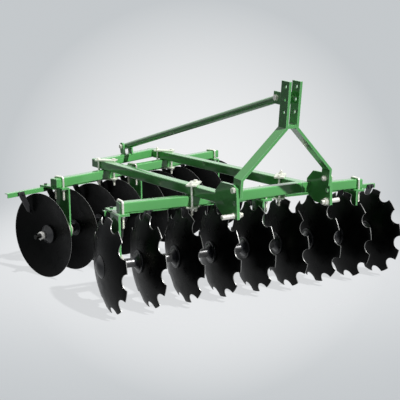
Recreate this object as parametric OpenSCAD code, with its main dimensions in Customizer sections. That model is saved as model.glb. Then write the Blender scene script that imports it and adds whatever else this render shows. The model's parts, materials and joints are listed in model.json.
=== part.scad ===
// Mounted offset disc harrow: nine notched discs in front, nine plain discs behind.
// Millimetres, Z up, hitch towards -Y, floor at Z = 0.

/* [Gangs] */
// Disc diameter
disc_d = 460; // [400:5:560]
// Disc sheet thickness
disc_t = 4; // [3:0.5:8]
// Radius of the dish, inner face
dish_r = 600; // [450:10:900]
// Discs on each gang
disc_count = 9; // [5:1:12]
// Distance between neighbouring discs along the axle
disc_pitch = 191; // [160:1:260]
// Notches round a front disc
notch_count = 10; // [6:1:14]
// Radius of one notch
notch_r = 41; // [20:1:50]
// Front gang angle to the line across
front_angle = 7.6; // [0:0.1:25]
// Rear gang angle to the line across
rear_angle = 17.4; // [0:0.1:25]
// Middle of the front gang, sideways from the hitch centre
front_x = 84.3; // [-200:0.1:300]
// Middle of the front gang, fore and aft
front_y = -101; // [-300:0.1:100]
// Middle of the rear gang, sideways from the hitch centre
rear_x = 19; // [-200:0.1:300]
// Middle of the rear gang, fore and aft
rear_y = 949.5; // [750:0.1:1250]
// Side of the square axle
axle_w = 25; // [20:1:40]
// Spool tube diameter
spool_d = 45; // [38:1:70]
// Spool flange diameter
flange_d = 110; // [80:1:140]
// Width of the sharpened edge of a disc
edge_w = 9; // [4:0.5:16]

/* [Frame] */
// Side of the square tubes
tube = 50; // [40:1:100]
// Wall of the square tubes
tube_wall = 5; // [3:0.5:8]
// Corner radius of the square tubes
tube_r = 6; // [2:0.5:10]
// Clearance of the gang beams above the discs
beam_clear = 17; // [14:1:80]
// Rail centre from the hitch centre
rail_x = 242; // [150:1:400]
// Front end of both rails
rail_front = -318; // [-400:1:-200]
// Rear crossbeam where it meets the right rail
cross_rear_right = 967; // [925:1:1100]
// Rear crossbeam where it meets the left rail
cross_rear_left = 1157; // [1080:1:1250]
// Reach of the rails behind the rear crossbeam's centre line
rail_tail = 33; // [30:1:150]
// Thickness of the end caps
cap_t = 4; // [2:0.5:8]

/* [Hitch] */
// Thickness of the hitch plates
plate_t = 15; // [8:1:25]
// Lower hitch pin diameter
pin_d = 22; // [16:0.5:30]
// Free length of the lower hitch pins
pin_len = 65; // [50:1:110]
// Lower hitch pin ahead of the rails
pin_ahead = 122; // [90:1:180]
// Lower hitch pin below the top of the rails
pin_drop = 79; // [70:1:140]
// Mast bolt ahead of the rails
mast_ahead = 123; // [80:1:170]
// Mast bolt above the top of the rails
mast_rise = 36; // [30:1:80]
// Forward lean of the mast
mast_lean = 5.6; // [0:0.5:20]
// Width of the mast bars
mast_w = 54; // [40:1:90]
// Thickness of the mast bars
mast_t = 14; // [8:1:20]
// Gap between the mast bars at the top
mast_gap = 48; // [44:1:80]
// Top link hole diameter
link_d = 20; // [19:0.5:26]
// Strut pipe diameter
strut_d = 38; // [34:1:60]
// Strut bolt behind the middle of the rear crossbeam
strut_back = 10; // [-10:1:40]
// Strut bolt above the rear crossbeam
strut_rise = 45; // [40:1:90]

/* [Hangers] */
// Thickness of the hanger plate
hanger_t = 10; // [6:1:16]
// Web from the rim plane of the disc beside it
web_off = 34; // [25:1:60]
// Width of the hanger flange along the beam
hanger_w = 55; // [40:1:80]
// Reach of the flange behind the axle
hanger_back = 134; // [100:1:170]
// Bearing barrel diameter
bearing_d = 86; // [70:1:110]
// Rod diameter of the beam clamps
ubolt_d = 12; // [8:1:20]

/* [Clamps] */
// Thickness of the clamp straps
strap_t = 8; // [6:1:14]
// Width of the clamp straps
strap_w = 40; // [30:1:60]
// Clamp bolt diameter
clamp_d = 12; // [10:1:20]

/* [Scrapers] */
// Leg of the scraper angle bar
angle_w = 25; // [20:1:40]
// Thickness of the scraper angle bar
angle_t = 4; // [3:0.5:6]
// Front face of the angle bar behind the axle
angle_y = 104; // [95:1:130]
// Thickness of a scraper
scraper_t = 6; // [3:0.5:10]

/* [Placement] */
// Shift of the whole machine sideways
shift_x = -32.75; // [-300:0.01:300]
// Shift of the whole machine fore and aft
shift_y = -442.07; // [-900:0.01:300]

/* [Hidden] */
$fn = 64;
// Facets of the large arcs of a dish
arc_fn = 360;

// Heights and places that follow from the sizes above
R = disc_d / 2;
dish = dish_r - sqrt(dish_r * dish_r - R * R);
ball_x = dish_r - dish;
flat_rim = 3;
flat_r = flange_d / 2 + flat_rim;
hub_in = face_in(flat_r);
hub_out = face_out(flat_r);
gang_len = (disc_count - 1) * disc_pitch;
gang_beam_z = disc_d + beam_clear;
rail_z = gang_beam_z + tube;
frame_top = rail_z + tube;
rail_out = rail_x + tube / 2;
rail_in = rail_x - tube / 2;
right_rail_rear = cross_rear_right + rail_tail;
left_rail_rear = cross_rear_left + rail_tail;
cross_mid = (cross_rear_right + cross_rear_left) / 2;
pin_y = rail_front - pin_ahead;
pin_z = frame_top - pin_drop;
mast_y = rail_front - mast_ahead;
mast_z = frame_top + mast_rise;

// Disc edge and notches: steel left at the rim, notch centre outside the rim
edge_t = 1.5;
notch_out = 6;

// Hexagons: across flats, head height, nut height
AF = 0;
HEAD = 1;
NUT = 2;
M12 = [19, 4, 9];
M16 = [24, 10, 13];
bolt_16 = 16;
BOLT_TAIL = 5;

// Hitch plate: steel below the pin, ahead of the pin, above the mast bolt, lap on the rail
PLATE_FOOT = 14;
PLATE_NOSE = 26;
PLATE_CREST = 23;
PLATE_LAP = 22;
plate_top = mast_z + PLATE_CREST;
plate_low = pin_z - PLATE_FOOT;
plate_nose = pin_y - PLATE_NOSE;
// Hitch plate outline, fore-aft and up, with a clipped nose and a sloping tail
PLATE_PTS = [
  [rail_front - PLATE_LAP, plate_top],
  [plate_nose + 28, plate_top],
  [plate_nose + 8, plate_top - 16],
  [plate_nose, plate_low],
  [rail_front - 38, plate_low],
  [rail_front + PLATE_LAP, rail_z],
  [rail_front + PLATE_LAP, frame_top + 15],
];
// Spare hole in the hitch plate: ahead of the pin, above it, diameter
SPARE_AHEAD = 2;
SPARE_RISE = 56;
SPARE_D = 22;
// Lower pin: hexagon across flats, nut height, thread past the nut, shoulder against the plate
PIN_AF = 32;
PIN_NUT = 16;
PIN_TAIL = 16;
SHOULDER_D = 28;
SHOULDER_T = 4;

// Mast heights above the mast bolt: foot, lower bend, upper bend, top
MAST_FOOT = -32;
MAST_LOW = 47;
MAST_HIGH = 261;
MAST_TOP = 470;
// Top link holes up the mast from the mast bolt
LINK_HOLES = [332, 389, 446];
SPACER_H = 14;
// Strut bolt in the mast frame: behind the bar, and up
STRUT_Y = mast_w / 2 + 34;
STRUT_W = 388;
// Lugs of the strut: thickness, play beside the pipe, steel round the lower bolt
LUG_T = 10;
LUG_PLAY = 3;
LUG_R = 24;
// Upper lugs: half height, steel behind the bolt
LUG_HALF = 28;
LUG_END = 22;
lug_x = strut_d / 2 + LUG_PLAY + LUG_T / 2;
// Strut: wall of the pipe, reach past its bolts
STRUT_WALL = 4;
STRUT_END = 20;

// Hanger plate from the axle: front edge, rear edge, rear edge at axle height
WEB_FRONT = 50;
WEB_BACK = 62;
WEB_FOOT = 40;
// Hanger plate: inner radius of the bend, steel round the bearing
BEND_R = 4;
WEB_EYE = 14;
// Bearing: half its length, radial lip, thickness of the lip, play on the diameter
BEARING_HALF = 24;
LIP = 12;
LIP_T = 9;
BEARING_FIT = 0.2;
// Rod clamp: from the web, play beside the beam, inner bend, tail below the beam
ROD_OFF = 24;
ROD_PLAY = 1;
ROD_BEND = 10;
ROD_TAIL = 70;
rod_leg = tube / 2 + ubolt_d / 2 + ROD_PLAY;

// Crossing clamps: bolt beside the tubes, strap past the bolt, head, thread past the nut
clamp_side = tube / 2 + clamp_d / 2 + ROD_PLAY;
STRAP_END = 18;
CLAMP_HEAD = 8;
CLAMP_TAIL = 26;
clamp_low = gang_beam_z - strap_t;
clamp_high = frame_top + strap_t;
clamp_end = clamp_low - M12[NUT] - CLAMP_TAIL;
// Room beside a disc for a nut below the lower strap
nut_room = M12[AF] / 2 / cos(30) + 5;

// Scraper from the top of its bar and the rim plane: [along the axle, down]
SCRAPER_TOP = [[72, 2], [30, 2], [20, 35]];
SCRAPER_SIDE = [[14, 115], [58, 35]];
SCRAPER_TIP = 117;
SCRAPER_NOSE = 133;
SCRAPER_GAP = 5.5;
bar_top = gang_beam_z - hanger_t;

// Spool: collar at the hollow face, flange and cone at the round face
COLLAR_T = 7;
COLLAR_STEP = 10;
FLANGE_T = 8;
CONE_H = 18;
CONE_STEP = 12;
// Gang ends: dome on the round face, bell washer on the hollow face, nut and thread
DOME_H = 22;
DOME_R = 84;
AXLE_SEAT = 8;
BELL_RIM = 10;
BELL_H = 24;
BELL_D = 50;
NUT_AF = 40;
NUT_H = 28;
THREAD_OUT = 31;
bell_end = hub_in + BELL_RIM + BELL_H;
thread_d = axle_w - 1;

// Gaps that carry a hanger, counted from the dished-in end disc
HANGER_GAPS = [0, floor((disc_count - 1) / 2), disc_count - 2];
// Beam and angle bar ends along the axle: [beam start, beam end, bar start, bar end]
BEAM_0 = 0;
BEAM_1 = 1;
BAR_0 = 2;
BAR_1 = 3;
FRONT_SPAN = [50, gang_len - 106, 15, gang_len + 86];
REAR_SPAN = [9, gang_len - 95, 15, gang_len + 136];
// Crossings: [rail side, gang, fore-aft sign of the bolt on the -X side]
SIDE = 0;
GANG = 1;
FORE = 2;
FRONT = 0;
REAR = 1;
CROSSINGS = [[-1, FRONT, -1], [1, FRONT, -1], [-1, REAR, 1], [1, REAR, 1]];

// Faces of a disc along the axle, from the rim plane
function face_in(r) = ball_x - sqrt(dish_r * dish_r - r * r);
function face_out(r) = ball_x - sqrt((dish_r + disc_t) * (dish_r + disc_t) - r * r);

function cross_y(side, gang) = gang == FRONT
  ? front_y - tan(front_angle) * (side * rail_x - front_x)
  : rear_y + tan(rear_angle) * (side * rail_x - rear_x);

// Clamp bolt of a crossing on the -X side (s = -1) or the +X side (s = 1)
function bolt_xy(c, s) = [
  c[SIDE] * rail_x + s * clamp_side,
  cross_y(c[SIDE], c[GANG]) - s * c[FORE] * clamp_side,
];
// Its place along the axle, from the first disc and from the nearest one
function bolt_along(c, s) = gang_len / 2 + (c[GANG] == FRONT
  ? (bolt_xy(c, s) - [front_x, front_y]) * [cos(front_angle), -sin(front_angle)]
  : (bolt_xy(c, s) - [rear_x, rear_y]) * [-cos(rear_angle), -sin(rear_angle)]);
function rim_off(c, s) = bolt_along(c, s) - disc_pitch * round(bolt_along(c, s) / disc_pitch);
// The nut hangs below where it clears the discs
function nut_below(c, s) = rim_off(c, s) > nut_room
  || rim_off(c, s) < face_out(clamp_end - R) - nut_room;

// Frames of reference

module machine() {
  translate([shift_x, shift_y, 0]) children();
}

module front_place() {
  machine() translate([front_x, front_y, 0]) rotate([0, 0, -front_angle])
    translate([-gang_len / 2, 0, 0]) children();
}

module rear_place() {
  machine() translate([rear_x, rear_y, 0]) rotate([0, 0, rear_angle])
    translate([gang_len / 2, 0, 0]) mirror([1, 0, 0]) children();
}

module mast_place() {
  machine() translate([0, mast_y, mast_z]) rotate([mast_lean, 0, 0]) children();
}

// Shapes shared by several pieces

module tube_outline(side, r) {
  square([side, side - 2 * r], center = true);
  square([side - 2 * r, side], center = true);
  for (a = [-1, 1], b = [-1, 1]) {
    translate([a * (side / 2 - r), b * (side / 2 - r)]) circle(r);
  }
}

module tube_section() {
  difference() {
    tube_outline(tube, tube_r);
    square(tube - 2 * tube_wall, center = true);
  }
}

// Square tube along +X from the origin
module tube_x(len) {
  rotate([90, 0, 90]) linear_extrude(len) tube_section();
}

// Plate drawn fore-aft and up, centred on x
module side_plate(x, t) {
  translate([x - t / 2, 0, 0]) rotate([90, 0, 90]) linear_extrude(t) children();
}

// Rod along X
module rod_x(d, x0, x1) {
  translate([x0, 0, 0]) rotate([0, 90, 0]) cylinder(d = d, h = x1 - x0);
}

// Hexagon along Z
module hex_z(af, h) {
  cylinder(d = af / cos(30), h = h, $fn = 6);
}

// Hexagon along X
module hex_x(af, x0, x1) {
  translate([x0, 0, 0]) rotate([0, 90, 0]) hex_z(af, x1 - x0);
}

// Mirrored pieces on the two sides of the machine
module facing(side) {
  rotate([0, 0, side > 0 ? 0 : 180]) children();
}

// Main frame

module rail(side, rear) {
  color("ForestGreen") machine()
    translate([side * rail_x, rail_front, rail_z + tube / 2]) rotate([0, 0, 90]) tube_x(rear - rail_front);
}

module rail_right() {
  rail(-1, right_rail_rear);
}

module rail_left() {
  rail(1, left_rail_rear);
}

module front_crossbeam() {
  color("ForestGreen") machine()
    translate([-rail_in, rail_front + tube / 2, rail_z + tube / 2]) tube_x(2 * rail_in);
}

module rear_crossbeam() {
  turn = atan((cross_rear_left - cross_rear_right) / (2 * rail_in));
  len = 2 * rail_in / cos(turn);
  color("ForestGreen") machine() intersection() {
    translate([-rail_in, cross_rear_right, rail_z + tube / 2]) rotate([0, 0, turn])
      translate([-tube, 0, 0]) tube_x(len + 2 * tube);
    translate([-rail_in, 0, rail_z]) cube([2 * rail_in, left_rail_rear + tube, tube]);
  }
}

module cap(z) {
  translate([0, 0, z]) rotate([90, 0, 90]) linear_extrude(cap_t) tube_outline(tube, tube_r);
}

module rail_caps() {
  color("DarkGreen") machine() {
    for (e = [[-1, right_rail_rear], [1, left_rail_rear]]) {
      translate([e[0] * rail_x, e[1], 0]) rotate([0, 0, 90]) cap(rail_z + tube / 2);
      translate([e[0] * rail_x, rail_front - cap_t, 0]) rotate([0, 0, 90]) cap(rail_z + tube / 2);
    }
  }
}

// Hitch

module hitch_plate(side) {
  color("ForestGreen") machine() side_plate(side * (rail_out + plate_t / 2), plate_t) difference() {
    polygon(PLATE_PTS);
    translate([pin_y - SPARE_AHEAD, pin_z + SPARE_RISE]) circle(d = SPARE_D);
    translate([mast_y, mast_z]) circle(d = bolt_16);
    translate([pin_y, pin_z]) circle(d = pin_d);
  }
}

module hitch_plate_right() {
  hitch_plate(-1);
}

module hitch_plate_left() {
  hitch_plate(1);
}

module hitch_pins() {
  face = rail_out + plate_t;
  color("Gainsboro") machine() for (side = [-1, 1]) {
    translate([0, pin_y, pin_z]) facing(side) {
      rod_x(pin_d, rail_out - PIN_NUT - PIN_TAIL, face + pin_len);
      rod_x(SHOULDER_D, face, face + SHOULDER_T);
      hex_x(PIN_AF, rail_out - PIN_NUT, rail_out);
    }
  }
}

// Mast bar outline seen from the front, on the +X side
module mast_outline() {
  a = rail_out - mast_t / 2;
  b = (mast_gap + mast_t) / 2;
  h = mast_t / 2;
  turn = atan((a - b) / (MAST_HIGH - MAST_LOW));
  k = h * tan(turn / 2);
  polygon([
    [a + h, MAST_FOOT], [a + h, MAST_LOW + k], [b + h, MAST_HIGH + k], [b + h, MAST_TOP],
    [b - h, MAST_TOP], [b - h, MAST_HIGH - k], [a - h, MAST_LOW - k], [a - h, MAST_FOOT],
  ]);
}

module mast_bar(side) {
  inner = mast_gap / 2;
  color("ForestGreen") mast_place() facing(side) difference() {
    rotate([90, 0, 0]) linear_extrude(mast_w, center = true) mast_outline();
    for (w = LINK_HOLES) {
      translate([0, 0, w]) rod_x(link_d, inner - 1, inner + mast_t + 1);
    }
    rod_x(bolt_16, rail_out - mast_t - 1, rail_out + 1);
  }
}

module mast_bar_right() {
  mast_bar(-1);
}

module mast_bar_left() {
  mast_bar(1);
}

module mast_spacer() {
  color("ForestGreen") mast_place()
    translate([-mast_gap / 2, -mast_w / 2, MAST_HIGH]) cube([mast_gap, mast_w, SPACER_H]);
}

module mast_lugs() {
  color("ForestGreen") mast_place() for (x = [-lug_x, lug_x]) {
    side_plate(x, LUG_T) difference() {
      translate([mast_w / 2, STRUT_W - LUG_HALF]) square([STRUT_Y + LUG_END - mast_w / 2, 2 * LUG_HALF]);
      translate([STRUT_Y, STRUT_W]) circle(d = bolt_16);
    }
  }
}

module mast_bolts() {
  back = rail_out - mast_t;
  face = rail_out + plate_t;
  color("Gainsboro") machine() for (side = [-1, 1]) {
    translate([0, mast_y, mast_z]) facing(side) {
      rod_x(bolt_16, back - M16[NUT] - BOLT_TAIL, face + M16[HEAD] / 2);
      hex_x(M16[AF], face, face + M16[HEAD]);
      hex_x(M16[AF], back - M16[NUT], back);
    }
  }
}

// Strut from the mast down to the rear crossbeam, its bolts as fore-aft and up
strut_front = [
  mast_y + STRUT_Y * cos(mast_lean) - STRUT_W * sin(mast_lean),
  mast_z + STRUT_Y * sin(mast_lean) + STRUT_W * cos(mast_lean),
];
strut_rear = [cross_mid + strut_back, frame_top + strut_rise];
strut_fall = atan((strut_front[1] - strut_rear[1]) / (strut_rear[0] - strut_front[0]));
strut_len = (strut_rear[0] - strut_front[0]) / cos(strut_fall);

module strut() {
  color("ForestGreen") machine() difference() {
    translate([0, strut_front[0], strut_front[1]]) rotate([-90 - strut_fall, 0, 0]) difference() {
      translate([0, 0, -STRUT_END]) cylinder(d = strut_d, h = strut_len + 2 * STRUT_END);
      translate([0, 0, -2 * STRUT_END]) cylinder(d = strut_d - 2 * STRUT_WALL, h = strut_len + 4 * STRUT_END);
    }
    for (p = [strut_front, strut_rear]) {
      translate([0, p[0], p[1]]) rod_x(bolt_16, -strut_d, strut_d);
    }
  }
}

module strut_lugs() {
  color("ForestGreen") machine() for (x = [-lug_x, lug_x]) {
    side_plate(x, LUG_T) difference() {
      union() {
        translate(strut_rear) circle(r = LUG_R);
        polygon([
          [cross_mid - LUG_R, frame_top], [cross_mid + LUG_R, frame_top],
          [strut_rear[0] + LUG_R, strut_rear[1]], [strut_rear[0] - LUG_R, strut_rear[1]],
        ]);
      }
      translate(strut_rear) circle(d = bolt_16);
    }
  }
}

module strut_bolts() {
  out = lug_x + LUG_T / 2;
  color("Gainsboro") machine() for (p = [strut_front, strut_rear]) {
    translate([0, p[0], p[1]]) {
      rod_x(bolt_16, -out - M16[HEAD] / 2, out + M16[NUT] + BOLT_TAIL);
      hex_x(M16[AF], -out - M16[HEAD], -out);
      hex_x(M16[AF], out, out + M16[NUT]);
    }
  }
}

// Gang beams and the clamps that hold them under the rails

module gang_beam(span) {
  color("ForestGreen") translate([span[BEAM_0], 0, gang_beam_z + tube / 2])
    tube_x(span[BEAM_1] - span[BEAM_0]);
}

module front_gang_beam() {
  front_place() gang_beam(FRONT_SPAN);
}

module rear_gang_beam() {
  rear_place() gang_beam(REAR_SPAN);
}

module span_caps(span) {
  color("DarkGreen") {
    translate([span[BEAM_0] - cap_t, 0, 0]) cap(gang_beam_z + tube / 2);
    translate([span[BEAM_1], 0, 0]) cap(gang_beam_z + tube / 2);
  }
}

module gang_beam_caps() {
  front_place() span_caps(FRONT_SPAN);
  rear_place() span_caps(REAR_SPAN);
}

module crossing_place(c) {
  machine() translate([c[SIDE] * rail_x, cross_y(c[SIDE], c[GANG]), 0]) children();
}

// Strap on the diagonal that clears the angled beam
module strap(c, z) {
  reach = sqrt(2) * clamp_side;
  translate([0, 0, z]) rotate([0, 0, -45 * c[FORE]]) difference() {
    translate([-reach - STRAP_END, -strap_w / 2, 0]) cube([2 * (reach + STRAP_END), strap_w, strap_t]);
    for (s = [-1, 1]) {
      translate([s * reach, 0, -1]) cylinder(d = clamp_d, h = strap_t + 2);
    }
  }
}

module clamp_top_straps() {
  color("Wheat") for (c = CROSSINGS) {
    crossing_place(c) strap(c, clamp_high - strap_t);
  }
}

module clamp_bottom_straps() {
  color("Wheat") for (c = CROSSINGS) {
    crossing_place(c) strap(c, clamp_low);
  }
}

// Bolt with its head on one strap and its nut and thread past the other one
module clamp_bolt(below) {
  head = below ? CLAMP_HEAD : M12[HEAD];
  tail = M12[NUT] + CLAMP_TAIL;
  under = below ? tail : head / 2;
  over = below ? head / 2 : tail;
  translate([0, 0, clamp_low - under])
    cylinder(d = clamp_d, h = clamp_high - clamp_low + under + over);
  translate([0, 0, below ? clamp_high : clamp_low - head]) hex_z(M12[AF], head);
  translate([0, 0, below ? clamp_low - M12[NUT] : clamp_high]) hex_z(M12[AF], M12[NUT]);
}

module clamp_bolts() {
  color("Gainsboro") for (c = CROSSINGS, s = [-1, 1]) {
    machine() translate(bolt_xy(c, s)) clamp_bolt(nut_below(c, s));
  }
}

// Hangers, bearings and scrapers, drawn along the axle of one gang

// Plate bent over at the top, with the flange under the beam
module hanger(x) {
  bend_z = gang_beam_z - hanger_t - BEND_R;
  out_r = hanger_t + BEND_R;
  web_x = hanger_t / 2;
  flange_z = gang_beam_z - hanger_t;
  color("ForestGreen") translate([x, 0, 0]) difference() {
    union() {
      side_plate(0, hanger_t) difference() {
        union() {
          polygon([[-WEB_FRONT, R], [WEB_FOOT, R], [WEB_BACK, bend_z], [-WEB_FRONT, bend_z]]);
          translate([0, R]) circle(d = bearing_d + 2 * WEB_EYE);
        }
        translate([0, R]) circle(d = bearing_d);
      }
      translate([web_x + BEND_R, WEB_BACK, bend_z]) rotate([90, 0, 0]) linear_extrude(WEB_BACK + WEB_FRONT)
        intersection() {
          difference() {
            circle(out_r);
            circle(BEND_R);
          }
          translate([-out_r, 0]) square(out_r);
        }
      translate([web_x + BEND_R, -WEB_FRONT, flange_z])
        cube([hanger_w - hanger_t - BEND_R, WEB_BACK + WEB_FRONT, hanger_t]);
      translate([-web_x, WEB_BACK, flange_z]) cube([hanger_w, hanger_back - WEB_BACK, hanger_t]);
    }
    for (s = [-1, 1]) {
      translate([ROD_OFF, s * rod_leg, flange_z - 1]) cylinder(d = ubolt_d, h = hanger_t + 2);
    }
  }
}

module hangers() {
  for (g = HANGER_GAPS) {
    hanger(g * disc_pitch + web_off);
  }
}

module front_hangers() {
  front_place() hangers();
}

module rear_hangers() {
  rear_place() hangers();
}

// Rod bent over the beam, with nuts under the flange
module ubolt(x) {
  crown = gang_beam_z + tube + ubolt_d / 2;
  foot = gang_beam_z - ROD_TAIL;
  color("Gainsboro") translate([x, 0, 0]) {
    translate([0, ROD_BEND - rod_leg, crown]) rotate([-90, 0, 0])
      cylinder(d = ubolt_d, h = 2 * (rod_leg - ROD_BEND));
    for (s = [-1, 1]) {
      translate([0, s * rod_leg, foot]) cylinder(d = ubolt_d, h = crown - ROD_BEND - foot);
      translate([0, s * rod_leg, bar_top - M12[NUT]]) hex_z(M12[AF], M12[NUT]);
      translate([0, s * (rod_leg - ROD_BEND), crown - ROD_BEND]) rotate([90, 0, 90])
        rotate([0, 0, s > 0 ? 0 : 90]) rotate_extrude(angle = 90)
          translate([ROD_BEND, 0]) circle(d = ubolt_d);
    }
  }
}

module ubolts() {
  for (g = HANGER_GAPS) {
    ubolt(g * disc_pitch + web_off + ROD_OFF);
  }
}

module front_ubolts() {
  front_place() ubolts();
}

module rear_ubolts() {
  rear_place() ubolts();
}

module bearings() {
  lip_x = hanger_t / 2;
  color("DimGray") for (g = HANGER_GAPS) {
    translate([g * disc_pitch + web_off, 0, R]) difference() {
      union() {
        rod_x(bearing_d, -BEARING_HALF, BEARING_HALF);
        rod_x(bearing_d + 2 * LIP, lip_x, lip_x + LIP_T);
      }
      rod_x(spool_d + BEARING_FIT, -2 * BEARING_HALF, 2 * BEARING_HALF);
    }
  }
}

module front_bearings() {
  front_place() bearings();
}

module rear_bearings() {
  rear_place() bearings();
}

module scraper_bar(span) {
  length = span[BAR_1] - span[BAR_0];
  color("ForestGreen") translate([span[BAR_0], angle_y, bar_top]) rotate([90, 0, 90]) linear_extrude(length) {
    translate([0, -angle_w]) square([angle_t, angle_w]);
    translate([0, -angle_t]) square([angle_w, angle_t]);
  }
}

module front_scraper_bar() {
  front_place() scraper_bar(FRONT_SPAN);
}

module rear_scraper_bar() {
  rear_place() scraper_bar(REAR_SPAN);
}

// One flat scraper per disc; its tip follows the hollow face
function tip_at(down) = face_in(norm([angle_y, bar_top - down - R])) + SCRAPER_GAP;

module scrapers() {
  tip = [[tip_at(SCRAPER_TIP), SCRAPER_TIP], [tip_at(SCRAPER_TIP) + 6, SCRAPER_NOSE]];
  color("DimGray") for (i = [0:disc_count - 1]) {
    translate([i * disc_pitch, angle_y, bar_top]) rotate([90, 0, 0]) linear_extrude(scraper_t)
      mirror([0, 1]) polygon(concat(SCRAPER_TOP, tip, SCRAPER_SIDE));
  }
}

module front_scrapers() {
  front_place() scrapers();
}

module rear_scrapers() {
  rear_place() scrapers();
}

// Turning gangs, drawn along the axle; hollow faces look to +X

module on_axis() {
  translate([0, 0, R]) children();
}

module square_bore(x0, x1) {
  translate([x0, -axle_w / 2, -axle_w / 2]) cube([x1 - x0, axle_w, axle_w]);
}

// Half section of a disc: flat centre, two arcs of the dish, edge ground from outside
module disc_section() {
  deep = 2 * dish;
  edge_r = R - edge_w;
  translate([0, hub_out]) square([flat_r, hub_in - hub_out]);
  intersection() {
    translate([0, ball_x]) difference() {
      circle(dish_r + disc_t, $fn = arc_fn);
      circle(dish_r, $fn = arc_fn);
    }
    polygon([
      [flat_r, 0], [R, 0], [R, -edge_t], [edge_r, face_out(edge_r)], [edge_r, -deep], [flat_r, -deep],
    ]);
  }
}

module disc(notched) {
  deep = 2 * dish;
  difference() {
    rotate([0, 90, 0]) rotate_extrude() disc_section();
    square_bore(-deep, deep);
    if (notched) {
      for (k = [0:notch_count - 1]) {
        rotate([(k + 0.5) * 360 / notch_count, 0, 0]) translate([0, 0, -R - notch_out])
          rod_x(2 * notch_r, -deep, deep);
      }
    }
  }
}

module discs(notched) {
  color("Black") on_axis() for (i = [0:disc_count - 1]) {
    translate([i * disc_pitch, 0, 0]) disc(notched);
  }
}

module front_discs() {
  front_place() discs(true);
}

module rear_discs() {
  rear_place() discs(false);
}

// Spool from the hollow face of one disc to the round face of the next
module spool() {
  b = disc_pitch + hub_out;
  difference() {
    union() {
      rod_x(spool_d, hub_in, b);
      rod_x(flange_d - 2 * COLLAR_STEP, hub_in, hub_in + COLLAR_T);
      rod_x(flange_d, b - FLANGE_T, b);
      translate([b - FLANGE_T - CONE_H, 0, 0]) rotate([0, 90, 0])
        cylinder(d1 = spool_d, d2 = flange_d - 2 * CONE_STEP, h = CONE_H);
    }
    square_bore(hub_in - 1, b + 1);
  }
}

module spools() {
  color("DarkSlateGray") on_axis() for (i = [0:disc_count - 2]) {
    translate([i * disc_pitch, 0, 0]) spool();
  }
}

module front_spools() {
  front_place() spools();
}

module rear_spools() {
  rear_place() spools();
}

// Square axle with a round threaded end at the hollow end disc
module axle() {
  b = gang_len + bell_end;
  color("Silver") on_axis() {
    square_bore(hub_out - AXLE_SEAT, b);
    rod_x(thread_d, b - 1, b + NUT_H + THREAD_OUT);
  }
}

module front_axle() {
  front_place() axle();
}

module rear_axle() {
  rear_place() axle();
}

// Dome on the round end disc, bell washer on the hollow end disc
module ends() {
  b = gang_len + hub_in;
  color("DarkSlateGray") on_axis() {
    difference() {
      intersection() {
        rod_x(flange_d, hub_out - DOME_H, hub_out);
        translate([hub_out - DOME_H + DOME_R, 0, 0]) sphere(r = DOME_R);
      }
      square_bore(hub_out - AXLE_SEAT, hub_out + 1);
    }
    difference() {
      union() {
        rod_x(flange_d - COLLAR_STEP, b, b + BELL_RIM);
        translate([b + BELL_RIM, 0, 0]) rotate([0, 90, 0])
          cylinder(d1 = flange_d - COLLAR_STEP, d2 = BELL_D, h = BELL_H);
      }
      square_bore(b - 1, b + BELL_RIM + BELL_H + 1);
    }
  }
}

module front_ends() {
  front_place() ends();
}

module rear_ends() {
  rear_place() ends();
}

// Nut on the threaded end
module axle_nut() {
  b = gang_len + bell_end;
  color("Silver") on_axis() difference() {
    hex_x(NUT_AF, b, b + NUT_H);
    rod_x(thread_d, b - 1, b + NUT_H + 1);
  }
}

module front_axle_nut() {
  front_place() axle_nut();
}

module rear_axle_nut() {
  rear_place() axle_nut();
}

rail_right();
rail_left();
front_crossbeam();
rear_crossbeam();
rail_caps();
hitch_plate_right();
hitch_plate_left();
hitch_pins();
mast_bar_right();
mast_bar_left();
mast_spacer();
mast_lugs();
mast_bolts();
strut();
strut_lugs();
strut_bolts();
front_gang_beam();
rear_gang_beam();
gang_beam_caps();
clamp_top_straps();
clamp_bottom_straps();
clamp_bolts();
front_hangers();
rear_hangers();
front_ubolts();
rear_ubolts();
front_bearings();
rear_bearings();
front_scraper_bar();
rear_scraper_bar();
front_scrapers();
rear_scrapers();
front_axle();
front_discs();
front_spools();
front_ends();
front_axle_nut();
rear_axle();
rear_discs();
rear_spools();
rear_ends();
rear_axle_nut();
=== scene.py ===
"""Looks of a mounted offset disc harrow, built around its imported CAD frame.

The frame is in metres with Z up and the hitch towards -Y. Pieces are built here in millimetres.
"""

import json
import math

import bmesh
import bpy
from mathutils import Matrix, Vector


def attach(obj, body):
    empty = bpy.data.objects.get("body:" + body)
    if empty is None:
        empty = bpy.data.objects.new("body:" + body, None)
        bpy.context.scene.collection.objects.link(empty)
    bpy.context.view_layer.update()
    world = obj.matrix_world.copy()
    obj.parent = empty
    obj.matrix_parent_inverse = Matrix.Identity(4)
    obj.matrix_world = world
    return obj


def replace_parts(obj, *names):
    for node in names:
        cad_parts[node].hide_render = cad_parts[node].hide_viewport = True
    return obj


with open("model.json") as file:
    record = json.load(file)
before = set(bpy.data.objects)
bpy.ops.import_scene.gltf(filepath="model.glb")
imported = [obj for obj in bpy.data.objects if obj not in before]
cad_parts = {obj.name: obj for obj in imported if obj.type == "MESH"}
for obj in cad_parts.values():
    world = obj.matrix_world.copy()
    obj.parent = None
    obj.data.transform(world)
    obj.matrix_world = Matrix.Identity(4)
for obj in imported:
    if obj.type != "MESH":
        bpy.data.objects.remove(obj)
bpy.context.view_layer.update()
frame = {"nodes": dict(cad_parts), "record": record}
NODES = frame["nodes"]
MM = 0.001

# Camera solved from the discs, rails and beams of the photograph
CAMERA_AT = (-2.2942, -3.5911, 1.2575)
CAMERA_YAW = 33.618
CAMERA_PITCH = 11.579
CAMERA_ROLL = -0.265
CAMERA_LENS = 70.1
CAMERA_SENSOR = 36.0

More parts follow.
